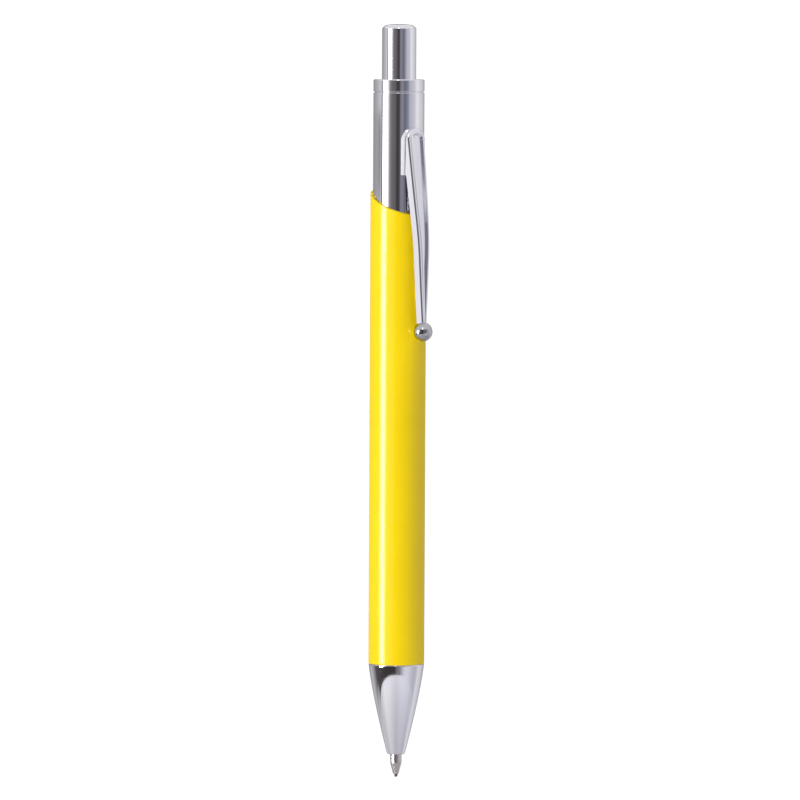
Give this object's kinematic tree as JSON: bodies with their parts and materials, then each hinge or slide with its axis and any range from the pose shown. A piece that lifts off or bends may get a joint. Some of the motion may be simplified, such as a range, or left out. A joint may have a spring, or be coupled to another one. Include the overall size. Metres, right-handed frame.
{
  "type": "mechanical pencil",
  "caption": "Slim push-button mechanical pencil: yellow lacquered sleeve with a slanted top edge, chrome tube, crown, button, nose cone and sprung ball-ended clip.",
  "frame": {"origin": "writing point: the end of the lead, on the barrel's axis", "axes": "+Z along the axis from the point to the push button, +X from the axis towards the clip"},
  "size_m": [0.014, 0.0104, 0.14],
  "materials": {
    "yellow_lacquer": "gloss",
    "chrome_plate": "polished",
    "tip_metal": "satin",
    "spring_steel": "satin",
    "tin_plate": "satin",
    "brass": "satin",
    "retainer_rubber": "matte",
    "eraser_rubber": "matte",
    "ivory_plastic": "satin",
    "clear_plastic": "satin",
    "graphite": "satin"
  },
  "bodies": {
    "barrel": {"barrel_sleeve": "yellow_lacquer", "barrel_tube": "chrome_plate", "crown_ring": "chrome_plate", "thread_insert": "brass", "guide_bush": "ivory_plastic", "mechanism_sleeve": "brass", "clip_saddle": "chrome_plate", "clip_pivot_pin": "spring_steel", "clip_leaf_spring": "spring_steel", "chuck_spring": "spring_steel"},
    "clip": {"clip_arm": "chrome_plate", "clip_ball": "chrome_plate"},
    "nose": {"nose_cone": "chrome_plate", "tip_guide": "tip_metal", "lead_retainer": "retainer_rubber"},
    "plunger": {"chuck_stem": "brass", "chuck_connector": "ivory_plastic", "lead_reservoir": "clear_plastic", "spare_leads": "graphite", "eraser_holder": "tin_plate", "eraser": "eraser_rubber"},
    "jaw_1": {"chuck_jaw_1": "brass"},
    "jaw_2": {"chuck_jaw_2": "brass"},
    "jaw_3": {"chuck_jaw_3": "brass"},
    "clutch": {"clutch_ring": "brass"},
    "button": {"push_button": "chrome_plate", "button_liner": "ivory_plastic"},
    "lead": {"lead": "graphite"}
  },
  "joints": [
    {"name": "button_press", "type": "slide", "parent": "barrel", "child": "plunger", "axis": [0, 0, -1], "range_m": [0, 0.004], "stiffness_N_per_m": 600, "springref_m": -0.005, "deforming": ["chuck_spring"]},
    {"name": "jaw_1_open", "type": "hinge", "parent": "plunger", "child": "jaw_1", "pos_m": [0.00105, 0, 0.019], "axis": [0, -1, 0], "range_deg": [0, 1.6]},
    {"name": "jaw_2_open", "type": "hinge", "parent": "plunger", "child": "jaw_2", "pos_m": [-0.00052, 0.00091, 0.019], "axis": [0.866, 0.5, 0], "range_deg": [0, 1.6]},
    {"name": "jaw_3_open", "type": "hinge", "parent": "plunger", "child": "jaw_3", "pos_m": [-0.00052, -0.00091, 0.019], "axis": [-0.866, 0.5, 0], "range_deg": [0, 1.6]},
    {"name": "clutch_travel", "type": "slide", "parent": "barrel", "child": "clutch", "axis": [0, 0, -1], "range_m": [0, 0.0013]},
    {"name": "lead_feed", "type": "slide", "parent": "barrel", "child": "lead", "axis": [0, 0, -1], "range_m": [-0.0006, 0.012]},
    {"name": "button_pull", "type": "slide", "parent": "plunger", "child": "button", "axis": [0, 0, 1], "range_m": [0, 0.022]},
    {"name": "nose_removal", "type": "slide", "parent": "barrel", "child": "nose", "axis": [0, 0, -1], "range_m": [0, 0.03]},
    {"name": "clip_lift", "type": "hinge", "parent": "barrel", "child": "clip", "pos_m": [0.00385, 0, 0.117], "axis": [0, -1, 0], "range_deg": [0, 4], "stiffness_Nm_per_rad": 4.6, "springref_deg": -1.15}
  ],
  "couplings": [
    {"joint": "jaw_1_open", "follows": "button_press", "rad_per_m": 6.5},
    {"joint": "jaw_2_open", "follows": "button_press", "rad_per_m": 6.5},
    {"joint": "jaw_3_open", "follows": "button_press", "rad_per_m": 6.5},
    {"joint": "clutch_travel", "follows": "button_press", "ratio": 0.3}
  ]
}
